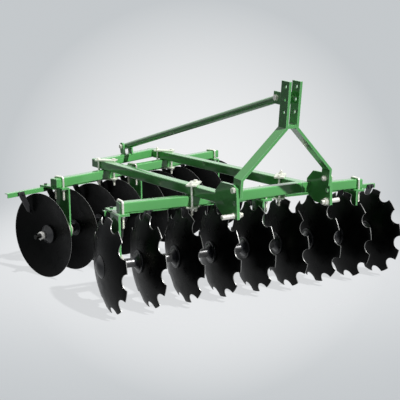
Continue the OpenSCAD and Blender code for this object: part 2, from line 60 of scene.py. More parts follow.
# Machine sizes in millimetres, as in the part's source. The notch turns, the width of the ground
# edge and the straps are the photograph's, where the solids are plainer.
SHIFT = Vector((-32.75, -442.07, 0.0))
MACHINE = Matrix.Translation(SHIFT)
DISC_R = 230.0
DISC_T = 4.0
DISH_R = 600.0
DISC_COUNT = 9
DISC_PITCH = 191.0
GANG_LEN = (DISC_COUNT - 1) * DISC_PITCH
FLANGE_R = 55.0
FLAT_R = FLANGE_R + 3.0
NOTCHES = 10
NOTCH_R = 41.0
NOTCH_OUT = 6.0
NOTCH_TURN = 5.5
QUARTER_TURNS = (0, 0, 1, 1, 1, 0, 1, 0, 0)
EDGE_W = 6.0
DISC_RINGS = 9
BALL_X = math.sqrt(DISH_R**2 - DISC_R**2)
AXLE_CORNER = 18.0
SPOOL_R = 22.5
SPOOL_BORE = 21.0
COLLAR_R, COLLAR_T = FLANGE_R - 10, 7.0
DOME_R, DOME_H = 84.0, 22.0
BELL_R, BELL_H = FLANGE_R - 5, 34.0
AXLE_NUT_FLATS, AXLE_NUT_H, AXLE_NUT_BORE = 40.0, 28.0, 12.0
TUBE = 50.0
TUBE_R = 6.0
BEAM_Z = 477.0
RAIL_Z = BEAM_Z + TUBE
FRAME_TOP = RAIL_Z + TUBE
RAIL_X = 242.0
RAIL_OUT = RAIL_X + TUBE / 2
RAIL_IN = RAIL_X - TUBE / 2
RAIL_FRONT = -318.0
PLATE_FACE = RAIL_OUT + 15.0
PLATE_LAP = 22.0
PIN_Y, PIN_Z = -440.0, 498.0
PIN_R, PIN_REACH, PIN_TAIL = 11.0, 65.0, 32.0
PIN_COLLAR_R, PIN_COLLAR_T = 14.0, 4.0
PIN_WASHER_R, PIN_WASHER_T = 19.0, 2.5
PIN_FLATS, PIN_NUT_END, PIN_NUT_BORE = 32.0, 16.0, 10.2
MAST_Y, MAST_Z = -441.0, 613.0
MAST_LEAN = math.radians(5.6)
MAST_T = 14.0
MAST_W = 54.0
MAST_HALF_GAP = 24.0
SPACER_LOW, SPACER_HIGH = 261.0, 275.0
STRUT_AT = (61.0, 388.0)
STRUT_REAR = (1072.0, 622.0)
LUG_IN, LUG_OUT = 22.0, 32.0
LUG_HALF, MAST_LUG_HALF = 17.0, 26.0
CROSS_RIGHT, CROSS_LEFT = 967.0, 1157.0
HANGER_T = 10.0
HANGER_GAPS = (0, 4, 7)
BAR_TOP = BEAM_Z - HANGER_T
BAR_Y = 104.0
BAR_T = 4.0
SCRAPER_T = 6.0
SCRAPER_BOLTS = (40.0, 63.0)
SCRAPER_BOLT_DROP = 13.0
HANGER_BOLT = (22.0, 15.0)
WEB_OFF = 34.0
ROD_OFF = 24.0
ROD_R = 6.0
ROD_LEG = 32.0
ROD_FOOT = 407.0
ROD_CROWN = 533.0
ROD_BEND = 10.0
BEARING_R = 43.0
LIP_FACE = 14.0
LIP_BOLT_R = 49.0
NIPPLE_X = 19.0
CLAMP_R = 6.0
CLAMP_SIDE = 32.0
STRAP_LONG = math.sqrt(2) * CLAMP_SIDE + 18.0
STRAP_WIDE = 27.0
STRAP_T = 8.0
STRAP_CORNER = 6.0
CLAMP_LOW, CLAMP_HIGH = 469.0, 585.0
CLAMP_END, CLAMP_TOP = 434.0, 602.0
CLAMP_HEAD, CLAMP_LOW_HEAD, CLAMP_NUT = 6.0, 4.0, 9.0
SHANK_IN = 4.0
TAIL_START = 3.0

# Fasteners (millimetres)
WASHER_T, WASHER_EDGE = 2.0, 0.5
M12_FLATS, M12_WASHER_R, M12_NUT, M12_BORE = 19.0, 12.0, 8.0, 5.6
M16_R, M16_FLATS, M16_HEAD, M16_NUT, M16_TAIL, M16_BORE = 8.0, 24.0, 12.0, 13.0, 5.0, 7.4
M16_WASHER_R, M16_WASHER_T = 13.5, 2.5
CORE_SHARE = 0.87
COARSE, M16_PITCH, PIN_PITCH, SMALL_PITCH = 1.75, 2.0, 2.5, 1.5
# Small bolts: radius and width across flats
SCRAPER_BOLT = (5.0, 15.0)
BAR_BOLT = (5.0, 16.0)
LIP_BOLT = (3.0, 10.0)

# Edges that turn by less than this are shaded smooth
SMOOTH_BELOW = math.radians(28)


class Gang:
    """One gang's own axes: along the axle from its dome end, behind the axle, and up."""

    def __init__(self, name, middle, angle, along_sign, notched, edge):
        a = math.radians(angle)
        across = Vector((math.cos(a), math.sin(a), 0.0))
        behind = Vector((-math.sin(a), math.cos(a), 0.0))
        along = across * along_sign
        self.name = name
        self.body = f"{name}_gang"
        self.notched = notched
        self.edge = edge
        self.middle = middle
        self.slope = math.tan(a)
        self.webs = [g * DISC_PITCH + WEB_OFF for g in HANGER_GAPS]
        self.place = Matrix((along, behind, Vector((0, 0, 1)))).transposed().to_4x4()
        self.place.translation = SHIFT + Vector((*middle, 0.0)) - along * GANG_LEN / 2

    def beam_y(self, x):
        """Centre line of the gang's beam where it passes a place across the machine."""
        return self.middle[1] + self.slope * (x - self.middle[0])


FRONT = Gang("front", (84.3, -101.0), -7.6, 1, True, 3.0)
REAR = Gang("rear", (19.0, 949.5), 17.4, -1, False, 1.5)
GANGS = (FRONT, REAR)


# Materials


class Shader:
    """A principled material whose nodes are added and linked by short calls."""

    def __init__(self, name, color, roughness, metallic=0.0):
        self.material = bpy.data.materials.new(name)
        self.material.use_nodes = True
        self.tree = self.material.node_tree
        self.bsdf = self.tree.nodes["Principled BSDF"]
        finish = {"Base Color": (*color, 1.0), "Roughness": roughness, "Metallic": metallic}
        self.set(self.bsdf, finish)
        self.coords = self.tree.nodes.new("ShaderNodeTexCoord")

    def set(self, node, inputs):
        for key, value in inputs.items():
            if isinstance(value, bpy.types.NodeSocket):
                self.tree.links.new(value, node.inputs[key])
            else:
                node.inputs[key].default_value = value
        return node

    def node(self, kind, inputs=None, **settings):
        made = self.tree.nodes.new("ShaderNode" + kind)
        for key, value in settings.items():
            setattr(made, key, value)
        return self.set(made, inputs or {})

    def noise(self, scale, detail=4.0, stretch=(1.0, 1.0, 1.0)):
        where = self.node("Mapping", {"Vector": self.coords.outputs["Object"], "Scale": stretch})
        inputs = {"Vector": where.outputs[0], "Scale": scale, "Detail": detail}
        return self.node("TexNoise", inputs).outputs["Fac"]

    def ramp(self, fac, low, high, start=0.0, end=1.0):
        made = self.node("MapRange", {"Value": fac, 1: low, 2: high, 3: start, 4: end})
        return made.outputs[0]

    def mix(self, fac, first, second):
        made = self.node("Mix", data_type="RGBA")
        self.set(made, {"Factor": fac, 6: first, 7: second})
        return made.outputs[2]

    def math(self, operation, first, second):
        return self.node("Math", {0: first, 1: second}, operation=operation).outputs[0]

    def dot(self, first, second):
        made = self.node("VectorMath", {0: first, 1: second}, operation="DOT_PRODUCT")
        return made.outputs["Value"]

    def edges(self, radius):
        """Mask of the edges: how far a rounded normal leaves the true one."""
        bevel = self.node("Bevel", {"Radius": radius}, samples=6)
        true = self.node("NewGeometry")
        return self.ramp(self.dot(bevel.outputs[0], true.outputs["Normal"]), 0.995, 0.80)

    def bump(self, height, strength, distance):
        made = self.node("Bump", {"Height": height, "Strength": strength, "Distance": distance})
        self.set(self.bsdf, {"Normal": made.outputs[0]})


def green_paint():
    s = Shader("green_paint", (0.104, 0.385, 0.112), 0.3)
    shade = s.ramp(s.noise(5.0), 0.3, 0.7)
    body = s.mix(shade, (0.095, 0.362, 0.102, 1), (0.113, 0.408, 0.122, 1))
    # Painted highlight: sharp edges lightened toward pale mint, in patches
    painted_edge_highlight = s.math("MULTIPLY", s.edges(0.004), s.ramp(s.noise(60.0), 0.35, 0.65, 0.35, 0.9))
    s.set(s.bsdf, {"Base Color": s.mix(painted_edge_highlight, body, (0.42, 0.72, 0.48, 1))})
    s.set(s.bsdf, {"Roughness": s.ramp(s.noise(14.0), 0.3, 0.7, 0.20, 0.34)})
    s.set(s.bsdf, {"IOR": 1.10, "Coat Weight": 1.0, "Coat Roughness": 0.08, "Coat IOR": 1.47})
    s.bump(s.noise(420.0, 2.0), 0.10, 0.0006)
    return s.material


def black_paint(name, color, roughness, ior=1.5):
    s = Shader(name, color, roughness)
    dust = s.ramp(s.noise(9.0, 6.0), 0.45, 0.75, 0.0, 0.35)
    dusty = tuple(c * 2.0 + 0.002 for c in color)
    s.set(s.bsdf, {"Base Color": s.mix(dust, (*color, 1), (*dusty, 1)), "IOR": ior})
    patchy = s.ramp(s.noise(22.0, 5.0), 0.3, 0.7, roughness - 0.07, roughness + 0.09)
    s.set(s.bsdf, {"Roughness": patchy})
    s.bump(s.noise(350.0, 2.0), 0.08, 0.0005)
    return s.material


def metal(name, color, roughness, cloud=0.18, brushed=(1.0, 1.0, 1.0), metallic=1.0):
    s = Shader(name, color, roughness, metallic)
    darker = tuple(c * (1 - cloud) for c in color)
    clouds = s.ramp(s.noise(35.0), 0.35, 0.65)
    s.set(s.bsdf, {"Base Color": s.mix(clouds, (*darker, 1), (*color, 1))})
    streaks = s.ramp(s.noise(90.0, 3.0, brushed), 0.3, 0.7, roughness - 0.08, roughness + 0.10)
    s.set(s.bsdf, {"Roughness": streaks})
    s.bump(s.noise(500.0, 2.0, brushed), 0.12, 0.0004)
    return s.material


GREEN = green_paint()
DISC_BLACK = black_paint("disc_black", (0.0040, 0.0046, 0.0046), 0.30, 1.14)
SPOOL_BLACK = black_paint("spool_black", (0.009, 0.010, 0.013), 0.30)
SPOOL_STEEL = metal("spool_steel", (0.11, 0.11, 0.11), 0.38, brushed=(1.0, 1.0, 6.0))
AXLE_DARK = metal("axle_dark", (0.035, 0.035, 0.034), 0.34)
SCRAPER_GREY = black_paint("scraper_grey", (0.020, 0.020, 0.022), 0.42)
BEARING_CREAM = black_paint("bearing_grey", (0.50, 0.49, 0.42), 0.40)
ZINC = metal("zinc", (0.93, 0.92, 0.84), 0.32, 0.10, metallic=0.65)
ZINC_PLATE = metal("zinc_plate", (0.76, 0.80, 0.68), 0.38, 0.15, metallic=0.35)
STEEL_EDGE = metal("steel_edge", (0.30, 0.30, 0.29), 0.36, metallic=0.7)
AXLE_STEEL = metal("axle_steel", (0.78, 0.77, 0.73), 0.30, metallic=0.6)
BY_SLOT = {
    "green_paint": GREEN,
    "zinc": ZINC,
    "zinc_plate": ZINC_PLATE,
    "bearing_grey": BEARING_CREAM,
    "scraper_grey": SCRAPER_GREY,
    "disc_black": DISC_BLACK,
    "spool_black": SPOOL_BLACK,
    "axle_steel": AXLE_STEEL,
}


# CAD nodes: procedural finish and softened edges


def edge_normals():
    """Node group that joins split vertices and shades smooth up to an angle."""
    group = bpy.data.node_groups.new("edge_normals", "GeometryNodeTree")
    group.interface.new_socket("Geometry", in_out="INPUT", socket_type="NodeSocketGeometry")
    group.interface.new_socket("Geometry", in_out="OUTPUT", socket_type="NodeSocketGeometry")
    start = group.nodes.new("NodeGroupInput")
    end = group.nodes.new("NodeGroupOutput")
    merge = group.nodes.new("GeometryNodeMergeByDistance")
    merge.inputs["Distance"].default_value = 1e-6
    angle = group.nodes.new("GeometryNodeInputMeshEdgeAngle")
    sharp = group.nodes.new("FunctionNodeCompare")
    sharp.data_type = "FLOAT"
    sharp.operation = "GREATER_THAN"
    sharp.inputs[1].default_value = SMOOTH_BELOW
    normal = group.nodes.new("GeometryNodeSetMeshNormal")
    normal.mode = "SHARPNESS"
    group.links.new(start.outputs[0], merge.inputs[0])
    group.links.new(merge.outputs[0], normal.inputs["Mesh"])
    group.links.new(angle.outputs[0], sharp.inputs[0])
    group.links.new(sharp.outputs[0], normal.inputs["Edge Sharpness"])
    group.links.new(normal.outputs[0], end.inputs[0])
    return group


EDGE_NORMALS = edge_normals()


def soften(obj, width):
    """Rounds an object's sharp edges by a small width."""
    join = obj.modifiers.new("join", "NODES")
    join.node_group = EDGE_NORMALS
    flat = obj.modifiers.new("flat", "DECIMATE")
    flat.decimate_type = "DISSOLVE"
    flat.angle_limit = math.radians(0.5)
    bevel = obj.modifiers.new("bevel", "BEVEL")
    bevel.width = width * MM
    bevel.segments = 2
    bevel.limit_method = "ANGLE"
    bevel.angle_limit = math.radians(40)
    bevel.harden_normals = True
    bevel.use_clamp_overlap = True


SOFT_EDGE = 1.2
SOFT_EDGES = {"rail_caps": 3.0, "gang_beam_caps": 3.0, "mast_bar_right": 1.6, "mast_bar_left": 1.6}


def dress_cad():
    """Gives each CAD node its finish and softens its edges."""
    slots = {row["node"]: row["material_slot"] for row in frame["record"]["subparts"]}
    for name, obj in NODES.items():
        obj.material_slots[0].link = "OBJECT"
        finish = AXLE_DARK if name.endswith("_axle") else BY_SLOT[slots[name]]
        obj.material_slots[0].material = finish
        soften(obj, SOFT_EDGES.get(name, SOFT_EDGE))


# Shapes shared by the pieces built here, in millimetres

UPRIGHT = Matrix.Identity(4)
DOWN = Matrix.Rotation(math.radians(180), 4, "X")
RIGHTWARD = Matrix.Rotation(math.radians(90), 4, "Y")
LEFTWARD = Matrix.Rotation(math.radians(-90), 4, "Y")
BEHIND = Matrix.Rotation(math.radians(-90), 4, "X")


def at(x, y, z, turn=UPRIGHT):
    """A place whose local Z is the axis of what is put there."""
    return Matrix.Translation((x, y, z)) @ turn


def skin(bm, place, rows_at, steps=32, loop=False, material=0):
    """Closed skin round local Z.

    rows_at gives (radius, height) rows at an angle, and radius 0 closes an end.
    """
    poles = {}
    columns = []
    for k in range(steps):
        a = 2 * math.pi * k / steps
        column = []
        for row, (r, h) in enumerate(rows_at(a)):
            if r:
                column.append(bm.verts.new(place @ Vector((r * math.cos(a), r * math.sin(a), h))))
            else:
                if row not in poles:
                    poles[row] = bm.verts.new(place @ Vector((0, 0, h)))
                column.append(poles[row])
        columns.append(column)
    count = len(columns[0])
    for k, here in enumerate(columns):
        there = columns[(k + 1) % steps]
        for row in range(count if loop else count - 1):
            after = (row + 1) % count
            corners = dict.fromkeys((here[row], there[row], there[after], here[after]))
            if len(corners) > 2:
                bm.faces.new(tuple(corners)).material_index = material


def turned(bm, place, rows, steps=48, loop=False, material=0):
    """A lathe-turned piece from one list of (radius, height)."""
    skin(bm, place, lambda a: rows, steps, loop, material)


def rod(bm, place, radius, low, high, chamfer=1.0, steps=28):
    """Solid round bar along local Z with chamfered ends."""
    rows = [(0, low), (radius - chamfer, low), (radius, low + chamfer)]
    rows += [(radius, high - chamfer), (radius - chamfer, high), (0, high)]
    turned(bm, place, rows, steps)


def ring(bm, place, bore, radius, low, high, chamfer=0.6, material=0, steps=40):
    """Washer, collar or tube along local Z, chamfered outside."""
    rows = [(bore, low), (radius - chamfer, low), (radius, low + chamfer)]
    rows += [(radius, high - chamfer), (radius - chamfer, high), (bore, high)]
    turned(bm, place, rows, steps, True, material)


def hexagon(bm, place, flats, low, high, bore=0.0):
    """Nut or bolt head with its corners cut by a cone at both ends."""
    crown = 0.95 * flats / 2
    lead = 0.8
    mouth = bore + lead if bore else 0.0

    def rows_at(a):
        r = flats / 2 / math.cos(a % math.radians(60) - math.radians(30))
        cut = (r - crown) * math.tan(math.radians(30))
        rows = [(crown, low), (r, low + cut), (r, high - cut), (crown, high)]
        if bore:
            return [(bore, low + lead), (mouth, low)] + rows + [(mouth, high), (bore, high - lead)]
        return [(0, low)] + rows + [(0, high)]

    skin(bm, place, rows_at, 36, bool(bore))


def stitch(bm, rings):
    """Joins a row of rings with equal counts into a skin with flat ends."""
    for here, there in zip(rings, rings[1:]):
        for k in range(len(here)):
            n = (k + 1) % len(here)
            bm.faces.new((here[k], here[n], there[n], there[k]))
    bm.faces.new(rings[0])
    bm.faces.new(rings[-1])


def thread(bm, place, radius, low, high, pitch):
    """Screw ridge wound round a core, tapering out at both ends."""
    per_turn = 16
    count = int((high - low) / pitch * per_turn)
    core = 0.85 * radius
    flank = 0.44 * pitch
    sections = []
    for k in range(count + 1):
        a = 2 * math.pi * k / per_turn
        h = low + pitch * k / per_turn
        crest = core + (radius - core) * min(1.0, k / per_turn, (count - k) / per_turn)
        out = Vector((math.cos(a), math.sin(a), 0))
        section = ((core, h - flank), (crest + 0.01, h), (core, h + flank))
        sections.append([bm.verts.new(place @ (out * r + Vector((0, 0, z)))) for r, z in section])
    stitch(bm, sections)


def threaded(bm, place, radius, low, high, pitch=COARSE):
    """A screw end: core and ridge."""
    rod(bm, place, CORE_SHARE * radius, low, high, 0.8, 20)
    thread(bm, place, radius, low + pitch / 2, high - pitch, pitch)


def sweep(bm, place, path, sides=16):
    """Closed rod along points (behind, up, radius) of one upright plane."""
    rings = []
    for i, (y, z, r) in enumerate(path):
        before, after = path[max(i - 1, 0)], path[min(i + 1, len(path) - 1)]
        tangent = Vector((0, after[0] - before[0], after[1] - before[1])).normalized()
        side = Vector((0, -tangent.z, tangent.y))
        turn = [2 * math.pi * k / sides for k in range(sides)]
        spokes = [side * math.cos(a) + Vector((1, 0, 0)) * math.sin(a) for a in turn]
        rings.append([bm.verts.new(place @ (Vector((0, y, z)) + s * r)) for s in spokes])
    stitch(bm, rings)


def slab(bm, place, half_length, half_width, corner, low, high, chamfer=0.8):
    """Flat plate with round corners and broken edges."""

    def outline(inset):
        r = corner - inset
        points = []
        for turn, (x, y) in enumerate(((1, 1), (-1, 1), (-1, -1), (1, -1))):
            centre = Vector((x * (half_length - corner), y * (half_width - corner), 0))
            angles = [math.radians(90 * turn + 15 * k) for k in range(7)]
            points += [centre + Vector((r * math.cos(a), r * math.sin(a), 0)) for a in angles]
        return points

    rows = ((chamfer, low), (0, low + chamfer), (0, high - chamfer), (chamfer, high))
    rings = []
    for inset, z in rows:
        level = [place @ (q + Vector((0, 0, z))) for q in outline(inset)]
        rings.append([bm.verts.new(q) for q in level])
    stitch(bm, rings)


def bead(bm, start, end, radius=4.0, place=UPRIGHT):
    """Weld bead: a rippled rod between two points, rounded off at its ends."""
    start, end = Vector(start), Vector(end)
    length = (end - start).length
    axis = Matrix.Translation(start) @ (end - start).to_track_quat("Z", "Y").to_matrix().to_4x4()
    steps = max(4, round(length / 1.5))
    rows = [(0, 0.0)]
    for k in range(1, steps):
        h = length * k / steps
        round_off = math.sqrt(min(1.0, h / radius, (length - h) / radius))
        ripple = 0.86 + 0.14 * abs(math.sin(h * 0.8))
        rows.append((radius * round_off * ripple, h))
    turned(bm, place @ axis, rows + [(0, length)], 10)


def add_piece(name, bm, materials, body, place=MACHINE):
    """Turns a bmesh in millimetres into a piece that rides on a body."""
    bm.transform(Matrix.Scale(MM, 4) @ place)
    bmesh.ops.recalc_face_normals(bm, faces=bm.faces)
    mesh = bpy.data.meshes.new(name)
    bm.to_mesh(mesh)
    bm.free()
    for material in materials:
        mesh.materials.append(material)
    mesh.shade_smooth()
    mesh.set_sharp_from_angle(angle=SMOOTH_BELOW)
    obj = bpy.data.objects.new(name, mesh)
    bpy.context.scene.collection.objects.link(obj)
    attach(obj, body)
    return obj


# Turning gangs


def face_in(r):
    """Hollow face of a disc at a radius, from its rim plane along the axle."""
    return BALL_X - math.sqrt(DISH_R**2 - r * r)


def face_out(r):
    """Round face of a disc at a radius, from its rim plane along the axle."""
    return BALL_X - math.sqrt((DISH_R + DISC_T) ** 2 - r * r)


HUB_IN = face_in(FLAT_R)
HUB_OUT = face_out(FLAT_R)
BELL_END = HUB_IN + BELL_H


def rim_angles(notched):
    """Angles round a disc with the rim radius at each, with round notches or plain."""
    if not notched:
        count = 192
        return [(2 * math.pi * k / count, DISC_R) for k in range(count)]
    c = DISC_R + NOTCH_OUT
    half = math.acos((DISC_R**2 + c * c - NOTCH_R**2) / (2 * DISC_R * c))
    step = 2 * math.pi / NOTCHES
    in_notch = 18
    on_tooth = 12
    out = []
    for n in range(NOTCHES):
        middle = (n + 0.5) * step
        for k in range(in_notch + 1):
            # more samples near the corners, where the notch wall runs radially
            phi = half * math.sin(math.pi * (k / in_notch - 0.5))
            root = math.sqrt(max(NOTCH_R**2 - (c * math.sin(phi)) ** 2, 0.0))
            out.append((middle + phi, min(DISC_R, c * math.cos(phi) - root)))
        for k in range(1, on_tooth):
            out.append((middle + half + (step - 2 * half) * k / on_tooth, DISC_R))
    return out


def disc_mesh(bm, x, gang, turn):
    """One dished disc on the axle line, rim plane at x, its rim wall in the second material."""
    rim_wall = DISC_RINGS + 2
    columns = []
    for angle, rim in rim_angles(gang.notched):
        dish = rim - EDGE_W - FLAT_R
        radii = [AXLE_CORNER, FLAT_R]
        radii += [FLAT_R + dish * k / DISC_RINGS for k in range(1, DISC_RINGS + 1)]
        hollow = [(r, face_in(max(r, FLAT_R))) for r in radii] + [(rim, face_in(rim))]
        back = [(r, face_out(max(r, FLAT_R))) for r in radii] + [(rim, face_in(rim) - gang.edge)]
        loop = hollow + back[::-1]
        s, c = math.sin(angle + turn), math.cos(angle + turn)
        columns.append([bm.verts.new((x + h, r * s, DISC_R - r * c)) for r, h in loop])
    size = len(columns[0])
    for i, here in enumerate(columns):
        there = columns[(i + 1) % len(columns)]
        for k in range(size):
            face = bm.faces.new((here[k], here[(k + 1) % size], there[(k + 1) % size], there[k]))
            face.material_index = 1 if k == rim_wall else 0


def add_discs(gang):
    bm = bmesh.new()
    for i in range(DISC_COUNT):
        turn = math.radians(NOTCH_TURN + 90 * QUARTER_TURNS[i])
        disc_mesh(bm, i * DISC_PITCH, gang, turn)
    paints = [DISC_BLACK, STEEL_EDGE]
    obj = add_piece(f"{gang.name}_disc_blades", bm, paints, gang.body, gang.place)
    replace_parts(obj, f"{gang.name}_discs")


def add_spools(gang):
    """Collar, tube, and a flared flange welded on, between each two discs."""
    end = DISC_PITCH + HUB_OUT
    flare = [(23.5, -29), (24.5, -26), (40.5, -10.5), (43, -8.6), (46, -8)]
    rim = [(FLANGE_R - 1.2, -8), (FLANGE_R, -6.8), (FLANGE_R, -1), (FLANGE_R - 0.8, 0)]
    flange = [(SPOOL_BORE, -29)] + flare + rim + [(SPOOL_BORE, 0)]
    fillet = [(SPOOL_BORE, 6.5), (28.5, 6.5), (25.5, 9), (SPOOL_BORE, 12)]
    bm = bmesh.new()
    for i in range(DISC_COUNT - 1):
        place = at(i * DISC_PITCH, 0, DISC_R, RIGHTWARD)
        ring(bm, place, SPOOL_BORE, COLLAR_R, HUB_IN, HUB_IN + COLLAR_T, 1.2)
        turned(bm, place, [(r, HUB_IN + h) for r, h in fillet], 48, True)
        ring(bm, place, AXLE_CORNER, SPOOL_R, HUB_IN, end, 0.6, 1, 48)
        turned(bm, place, [(r, end + h) for r, h in flange], 64, True)
    paints = [SPOOL_BLACK, SPOOL_STEEL]
    obj = add_piece(f"{gang.name}_spool_set", bm, paints, gang.body, gang.place)
    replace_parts(obj, f"{gang.name}_spools")


def add_ends(gang):
    """Dome on the round end disc, bell washer on the hollow end disc."""
    dome_top = DOME_H - HUB_OUT
    dome_rows = 14
    dome = [(0, -HUB_OUT), (FLANGE_R - 0.6, -HUB_OUT), (FLANGE_R, 0.6 - HUB_OUT)]
    for k in range(dome_rows, -1, -1):
        r = FLANGE_R * k / dome_rows
        dome.append((r, dome_top - DOME_R + math.sqrt(DOME_R**2 - r * r)))
    bell = [(AXLE_CORNER, 0), (BELL_R - 0.8, 0), (BELL_R, 0.8), (BELL_R, 8.6)]
    bell += [(BELL_R - 0.6, 10), (BELL_R - 2, 11)]
    bell += [(28, 32), (26.5, 33.4), (24.5, BELL_H), (AXLE_CORNER, BELL_H)]
    bm = bmesh.new()
    turned(bm, at(0, 0, DISC_R, LEFTWARD), dome, 64)
    turned(bm, at(GANG_LEN + HUB_IN, 0, DISC_R, RIGHTWARD), bell, 64, True)
    name = f"{gang.name}_end_caps"
    obj = add_piece(name, bm, [SPOOL_BLACK], gang.body, gang.place)
    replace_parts(obj, f"{gang.name}_ends")


def add_axle_nut(gang):
    bm = bmesh.new()
    place = at(GANG_LEN + BELL_END, 0, DISC_R, RIGHTWARD)
    hexagon(bm, place, AXLE_NUT_FLATS, 0, AXLE_NUT_H, AXLE_NUT_BORE)
    name = f"{gang.name}_axle_hexnut"
    obj = add_piece(name, bm, [AXLE_STEEL], gang.body, gang.place)
    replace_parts(obj, f"{gang.name}_axle_nut")


# Fasteners


def add_ubolts(gang):
    """Rods bent over the beam, with threads, washers and nuts under the hanger flange."""
    arc = [math.radians(90 * k / 8) for k in range(9)]
    core = CORE_SHARE * ROD_R
    leg = [(ROD_FOOT, core - 0.8), (ROD_FOOT + 0.8, core)]
    leg += [(BAR_TOP + 1, core), (BAR_TOP + 2, ROD_R)]
    washer = BAR_TOP - WASHER_T
    bend_y, bend_z = ROD_LEG - ROD_BEND, ROD_CROWN - ROD_BEND
    bend = [(-bend_y - ROD_BEND * math.cos(a), bend_z + ROD_BEND * math.sin(a), ROD_R) for a in arc]
    half = [(-ROD_LEG, z, r) for z, r in leg] + bend
    path = half + [(-y, z, r) for y, z, r in reversed(half)]
    bm = bmesh.new()
    for web in gang.webs:
        sweep(bm, at(web + ROD_OFF, 0, 0), path)
        for side in (-1, 1):
            place = at(web + ROD_OFF, side * ROD_LEG, 0)
            thread(bm, place, ROD_R, ROD_FOOT + 1, BAR_TOP, COARSE)
            ring(bm, place, core, M12_WASHER_R, washer, BAR_TOP, WASHER_EDGE)
            hexagon(bm, place, M12_FLATS, washer - M12_NUT, washer, M12_BORE)
    obj = add_piece(f"{gang.name}_ubolt_set", bm, [ZINC], "frame", gang.place)
    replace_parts(obj, f"{gang.name}_ubolts")


def add_straps():
    """Clamp plates on the diagonal of each crossing, above the rail and below the beam."""
    above = ("clamp_top_straps", "clamp_top_plates", FRAME_TOP)
    below = ("clamp_bottom_straps", "clamp_low_plates", CLAMP_LOW)
    for node, name, low in (above, below):
        bm = bmesh.new()
        for gang, fore in ((FRONT, -1), (REAR, 1)):
            for side in (-1, 1):
                diagonal = Matrix.Rotation(math.radians(-45 * fore), 4, "Z")
                place = at(side * RAIL_X, gang.beam_y(side * RAIL_X), 0, diagonal)
                slab(bm, place, STRAP_LONG, STRAP_WIDE, STRAP_CORNER, low, low + STRAP_T)
        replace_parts(add_piece(name, bm, [ZINC_PLATE], "frame"), node)


def clamp_places():
    """The eight clamp bolts, each with whether its nut stands above, as the frame has it."""
    tops = [(v.co / MM - SHIFT) for v in NODES["clamp_bolts"].data.vertices]
    for gang, fore in ((FRONT, -1), (REAR, 1)):
        for side in (-1, 1):
            for s in (-1, 1):
                x = side * RAIL_X + s * CLAMP_SIDE
                y = gang.beam_y(side * RAIL_X) - s * fore * CLAMP_SIDE
                top = max(p.z for p in tops if math.hypot(p.x - x, p.y - y) < 3 * CLAMP_R)
                yield x, y, top > CLAMP_TOP


def add_clamp_bolts():
    """Long bolts through both straps; a washer lies under each nut."""
    low_seat, high_seat = CLAMP_LOW - WASHER_T, CLAMP_HIGH + WASHER_T
    bm = bmesh.new()
    for x, y, above in clamp_places():
        place = at(x, y, 0)
        if above:
            rod(bm, place, CLAMP_R, CLAMP_LOW - CLAMP_LOW_HEAD / 2, CLAMP_HIGH + SHANK_IN)
            hexagon(bm, place, M12_FLATS, CLAMP_LOW - CLAMP_LOW_HEAD, CLAMP_LOW)
            washer = CLAMP_HIGH
            nut = (high_seat, high_seat + CLAMP_NUT)
            tail = (CLAMP_HIGH + TAIL_START, CLAMP_TOP)
        else:
            rod(bm, place, CLAMP_R, CLAMP_LOW - SHANK_IN, CLAMP_HIGH + SHANK_IN)
            hexagon(bm, place, M12_FLATS, high_seat, high_seat + CLAMP_HEAD)
            ring(bm, place, CLAMP_R, M12_WASHER_R, CLAMP_HIGH, high_seat, WASHER_EDGE)
            washer = low_seat
            nut = (low_seat - CLAMP_NUT, low_seat)
            tail = (CLAMP_END, CLAMP_LOW - TAIL_START)
        ring(bm, place, CLAMP_R, M12_WASHER_R, washer, washer + WASHER_T, WASHER_EDGE)
        hexagon(bm, place, M12_FLATS, *nut, M12_BORE)
        threaded(bm, place, CLAMP_R, *tail)
    obj = add_piece("clamp_bolt_set", bm, [ZINC], "frame")
    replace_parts(obj, "clamp_bolts")


def cross_bolt(bm, place, grip):
    """M16 bolt along local Z: head below 0, nut above the grip, a washer under each."""
    seat = grip + M16_WASHER_T
    end = grip + M16_NUT
    ring(bm, place, M16_R, M16_WASHER_R, -M16_WASHER_T, 0, WASHER_EDGE)
    hexagon(bm, place, M16_FLATS, -M16_HEAD, -M16_WASHER_T)
    rod(bm, place, M16_R, -SHANK_IN, grip + TAIL_START)
    ring(bm, place, M16_R, M16_WASHER_R, grip, seat, WASHER_EDGE)
    hexagon(bm, place, M16_FLATS, seat, end, M16_BORE)
    threaded(bm, place, M16_R, grip + 2, end + M16_TAIL, M16_PITCH)


def add_hitch_fasteners():
    """Mast bolts through plate and mast foot, and the lower pins with their nuts."""
    bolts = bmesh.new()
    pins = bmesh.new()
    grip = PLATE_FACE - RAIL_OUT + MAST_T
    seat = RAIL_OUT - PIN_WASHER_T
    for side, inward, outward in ((-1, RIGHTWARD, LEFTWARD), (1, LEFTWARD, RIGHTWARD)):
        cross_bolt(bolts, at(side * PLATE_FACE, MAST_Y, MAST_Z, inward), grip)
        place = at(0, PIN_Y, PIN_Z, outward)
        rod(pins, place, PIN_R, RAIL_OUT - SHANK_IN, PLATE_FACE + PIN_REACH, 2.5, 40)
        ring(pins, place, PIN_R, PIN_COLLAR_R, PLATE_FACE, PLATE_FACE + PIN_COLLAR_T, 0.8)
        ring(pins, place, PIN_R - 0.5, PIN_WASHER_R, seat, RAIL_OUT, WASHER_EDGE)
        hexagon(pins, place, PIN_FLATS, RAIL_OUT - PIN_NUT_END, seat, PIN_NUT_BORE)
        threaded(pins, place, PIN_R, RAIL_OUT - PIN_TAIL, RAIL_OUT - TAIL_START, PIN_PITCH)
    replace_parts(add_piece("mast_bolt_set", bolts, [ZINC], "frame"), "mast_bolts")
    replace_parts(add_piece("hitch_pin_set", pins, [ZINC], "frame"), "hitch_pins")


def mast_point(behind, up):
    """A point of the leaning mast as machine fore-aft and height."""
    c, s = math.cos(MAST_LEAN), math.sin(MAST_LEAN)
    return MAST_Y + behind * c - up * s, MAST_Z + behind * s + up * c


